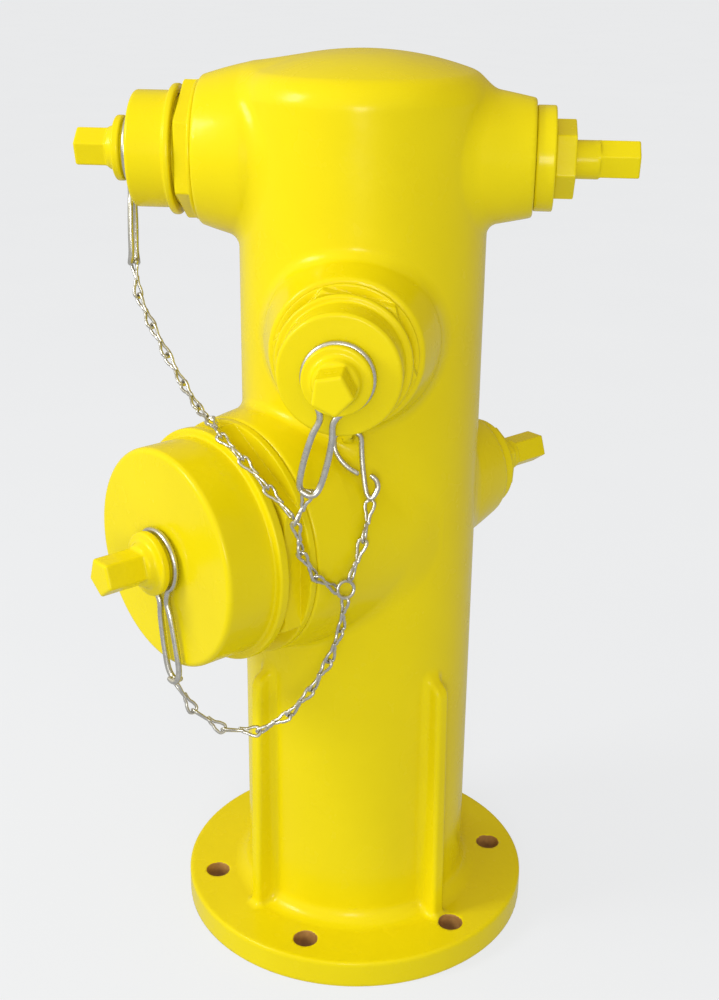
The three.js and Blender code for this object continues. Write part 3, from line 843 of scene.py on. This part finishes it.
def make_barrel():
    places = [(place_of(name).inverted(), facts["size"]) for name, facts in OUTLETS.items()]
    low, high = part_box("barrel")
    piece = cast_piece(
        "barrel_casting", barrel_field(places), low, high, 0.0022 * COARSER, identity,
        [paints["enamel"], paints["primer"]], most_faces=MOST_BARREL_FACES, bare=bare_iron,
    )
    finish_piece(piece, "root", "barrel")


# ---- nozzles, caps and valve ends ----------------------------------------------------------


def nozzle_field(size, start, end, turn):
    """A nozzle: threaded spout, hexagonal wrench collar with a round one behind it, and bore."""
    def field(p):
        u, across, up = p.T
        rho = np.hypot(across, up)
        crest = rho - size["thread"] + thread(u, across, up, size["pitch"], 0.0013)
        spout = both(crest, u - end, 0.0016)
        face = size["boss_face"] + GAP
        collar = both(rho - size["hex_corner"], slab(u, face, size["collar_end"]), 0.0008)
        wrench = polygon(across, up, size["hex_corner"], 6, turn, 0.0008)
        chamfer = (rho - size["hex_corner"] * 0.958) * 0.5 + (u - size["hex_end"]) * 0.866
        wrench = both(wrench, slab(u, face, size["hex_end"]), 0.0008)
        wrench = np.maximum(wrench, chamfer)
        body = join(join(spout, wrench, 0.0012), collar, 0.0004)
        body = np.minimum(body, both(rho - size["nozzle"], u - face - 0.001))
        body = both(body, start - u, 0.0008)
        return cut(body, rho - size["bore"], 0.0012)

    return field


def cap_field(size, start, end, radius, turn):
    """A cap: skirt with a lip, neck for the hook, disc, cone and pentagon nut, threaded inside."""
    def field(p):
        u, across, up = p.T
        rho = np.hypot(across, up)
        skirt = both(rho - size["cap_radius"], u - size["cap_face"], size["cap_round"])
        lip = both(rho - radius, slab(u, start, size["flange_end"]), 0.0019)
        body = join(skirt, lip, 0.0016)
        body = join(body, both(rho - NECK_RADIUS, u - size["disc_end"] + 0.001), 0.0022)
        disc = both(rho - DISC_RADIUS, slab(u, size["neck_end"], size["disc_end"]), 0.0017)
        body = join(body, disc, 0.0014)
        length = size["nut_start"] - size["disc_end"]
        cone = rho - (CONE_RADIUS - CONE_TAPER * np.clip((u - size["disc_end"]) / length, 0, 1))
        cone = both(cone, slab(u, size["neck_end"], size["nut_start"] - 0.001), 0.0012)
        body = join(body, cone, 0.0022)
        nut = both(polygon(across, up, NUT_CORNER + 0.0006, 5, turn, 0.0019), u - end, 0.0022)
        body = join(body, np.maximum(nut, size["neck_end"] - u), 0.0020)
        body = both(body, start - u, 0.0012)
        groove = rho - size["cap_thread"] + 0.0006 - thread(u, across, up, size["pitch"], 0.0008)
        return cut(body, both(groove, u - size["cap_inside"]), 0.0008)

    return field


def bonnet_field(start, end, radius, face):
    """The bonnet on the valve side, where u is negative: a collar outside the boss's face, a spigot
    inside it, and room for the packing."""
    def field(p):
        u, across, up = p.T
        rho = np.hypot(across, up)
        collar = both(rho - radius, slab(-u, face + GAP, -start), 0.0012)
        body = np.minimum(collar, both(rho - BONNET_SPIGOT, slab(-u, -end, face + 0.002), 0.0008))
        body = cut(body, rho - STEM_HOLE, 0.0006)
        return cut(body, both(rho - PACKING_RADIUS, PACKING_START + u), 0.0008)

    return field


def gland_field(start, end, corner, turn):
    """A gland nut: a chamfered hexagon, and the skirt that presses on the packing."""
    def field(p):
        u, across, up = p.T
        rho = np.hypot(across, up)
        hexagon = polygon(across, up, corner, 6, turn, 0.0009)
        wrench = both(hexagon, slab(-u, GLAND_FACE, -start), 0.0007)
        chamfer = (rho - corner * 0.955) * 0.5 + (-u + start) * 0.866
        nut = np.maximum(wrench, chamfer)
        skirt = both(rho - GLAND_SKIRT, slab(-u, -end, GLAND_FACE + 0.0017), 0.0006)
        return cut(np.minimum(nut, skirt), rho - STEM_HOLE, 0.0008)

    return field


def stem_field(start, end, nut_start, turn):
    """A stem: the shaft, the thinner spigot that turns in the disc, and the pentagon nut."""
    def field(p):
        u, across, up = p.T
        rho = np.hypot(across, up)
        shaft = both(rho - STEM_RADIUS, slab(u, -nut_start - 0.002, end - 0.019), 0.0012)
        spigot = both(rho - SPIGOT_RADIUS, slab(u, end - 0.03, end), 0.0008)
        pentagon = polygon(across, up, NUT_CORNER, 5, turn, 0.0012)
        nut = both(pentagon, slab(u, start, -nut_start - 0.001), 0.0012)
        return join(join(shaft, spigot, 0.0015), nut, 0.0012)

    return field


def make_outlet(outlet, size, swing, collar_turn, nut_turn, gland_turn):
    """One outlet's nozzle, cap and hook, and its valve end with bonnet, gland nut and stem."""
    matrix = place_of(outlet)
    collar_turn, nut_turn, gland_turn = map(math.radians, (collar_turn, nut_turn, gland_turn))
    fine = (0.0013 if size is PUMPER else 0.00105) * COARSER

    def build(node, name, field, body, cell):
        start, end, radius = reach(f"{outlet}_{node}", matrix)
        piece = cast_piece(
            f"{outlet}_{name}", field(start, end, radius), (start, -radius, -radius),
            (end, radius, radius), cell, matrix, [paints["enamel"]], most_faces=MOST_FACES,
        )
        finish_piece(piece, body, f"{outlet}_{node}")

    def nozzle(start, end, radius):
        return nozzle_field(size, start, end, collar_turn)

    def cap(start, end, radius):
        return cap_field(size, start, end, radius, nut_turn)

    def bonnet(start, end, radius):
        return bonnet_field(start, end, radius, size["valve_face"])

    def gland(start, end, radius):
        return gland_field(start, end, radius, gland_turn)

    def stem(start, end, radius):
        return stem_field(start, end, size["stem_nut"], nut_turn)

    build("nozzle", "nozzle_body", nozzle, "root", fine)
    build("cap", "cap_casting", cap, f"{outlet}_cap_body", fine)
    build("bonnet", "bonnet_body", bonnet, "root", 0.0012 * COARSER)
    build("gland_nut", "gland_nut_body", gland, "root", 0.0009 * COARSER)
    build("stem", "stem_bar", stem, f"{outlet}_stem_body", 0.0011 * COARSER)
    make_hook(outlet, math.radians(swing), size["hook_leg"])


make_barrel()
for outlet_name, outlet_facts in OUTLETS.items():
    make_outlet(outlet_name, **outlet_facts)

# ---- inner pieces that stay as the CAD has them --------------------------------------------

INNER = {
    "disc_holder": "bronze", "disc_nut": "bronze", "valve_disc": "rubber", "nozzle_oring": "rubber",
    "cap_gasket": "rubber", "bonnet_oring": "rubber", "stem_packing": "packing",
}
for outlet_name in OUTLETS:
    for node_name, paint_name in INNER.items():
        node = frame["nodes"][f"{outlet_name}_{node_name}"]
        node.data.materials.clear()
        node.data.materials.append(paints[paint_name])

# ---- floor, light --------------------------------------------------------------------------

FLOOR_SIZE = 40.0
FLOOR_GLOW = 0.50  # the floor's own light, as seen by the object and by the camera
FLOOR_GLOW_SEEN = 0.885
BACKDROP = (0.80, 0.815, 0.847)
ROOM_BRIGHT_SIDE = (-0.60, -0.80, -0.05)  # the way to the room's brightest side
ROOM_BRIGHT = (1.08, 1.04, 0.86)
ROOM_DIM = (0.36, 0.28, 0.17)


def make_floor():
    n = Nodes("studio_floor")
    n.link(
        n.ramp(n.noise(3, 3), [(0.3, (0.145, 0.148, 0.152)), (0.7, (0.155, 0.158, 0.162))]),
        n.shader.inputs["Base Color"],
    )
    n.set(Roughness=0.95, Emission_Color=(*BACKDROP, 1), Specular_IOR_Level=0.0)
    glow = n.add("ShaderNodeMapRange")
    glow.inputs["To Min"].default_value = FLOOR_GLOW
    glow.inputs["To Max"].default_value = FLOOR_GLOW_SEEN
    n.link(n.add("ShaderNodeLightPath").outputs["Is Camera Ray"], glow.inputs["Value"])
    n.link(glow.outputs["Result"], n.shader.inputs["Emission Strength"])
    half = FLOOR_SIZE / 2
    corners = [(-half, -half, 0), (half, -half, 0), (half, half, 0), (-half, half, 0)]
    floor = new_object("studio_floor", corners, [[0, 1, 2, 3]], [n.material])


def make_light(name, azimuth, elevation, distance, size, power):
    """A soft rectangular light. Azimuth 0 is the side that the camera is on, and 90 is +X."""
    light = bpy.data.lights.new(name, "AREA")
    light.shape = "RECTANGLE"
    light.size, light.size_y = size
    light.energy = power
    lamp = bpy.data.objects.new(name, light)
    bpy.context.scene.collection.objects.link(lamp)
    a, e = math.radians(azimuth), math.radians(elevation)
    back = Vector((math.sin(a) * math.cos(e), -math.cos(a) * math.cos(e), math.sin(e)))
    lamp.location = Vector((0, 0, VIEW_HEIGHT)) + back * distance
    lamp.rotation_mode = "QUATERNION"
    lamp.rotation_quaternion = (-back).to_track_quat("-Z", "Y")


def make_world():
    """The pale backdrop that the camera sees, and the room's light, strongest from the front left."""
    world = bpy.data.worlds.new("studio")
    world.use_nodes = True
    tree = world.node_tree
    add, link = tree.nodes.new, tree.links.new
    facing = add("ShaderNodeVectorMath")
    facing.operation = "DOT_PRODUCT"
    facing.inputs[1].default_value = ROOM_BRIGHT_SIDE
    link(add("ShaderNodeTexCoord").outputs["Generated"], facing.inputs[0])
    room = add("ShaderNodeMapRange")
    room.data_type = "FLOAT_VECTOR"
    sockets = {socket.identifier: socket for socket in room.inputs}
    sockets["From_Min_FLOAT3"].default_value = (-1, -1, -1)
    sockets["To_Min_FLOAT3"].default_value = ROOM_DIM
    sockets["To_Max_FLOAT3"].default_value = ROOM_BRIGHT
    link(facing.outputs["Value"], sockets["Vector"])
    shade = add("ShaderNodeMix")
    shade.data_type = "RGBA"
    shade.inputs["B"].default_value = (*BACKDROP, 1)
    link(add("ShaderNodeLightPath").outputs["Is Camera Ray"], shade.inputs["Factor"])
    link(room.outputs["Vector"], shade.inputs["A"])
    link(shade.outputs["Result"], tree.nodes["Background"].inputs["Color"])
    bpy.context.scene.world = world
    bpy.context.scene.view_settings.view_transform = "Standard"


make_floor()
make_world()
make_light("key_left", -64, 33, 2.2, (0.55, 0.75), 20)
make_light("front", 2, 12, 2.4, (0.40, 0.60), 14)
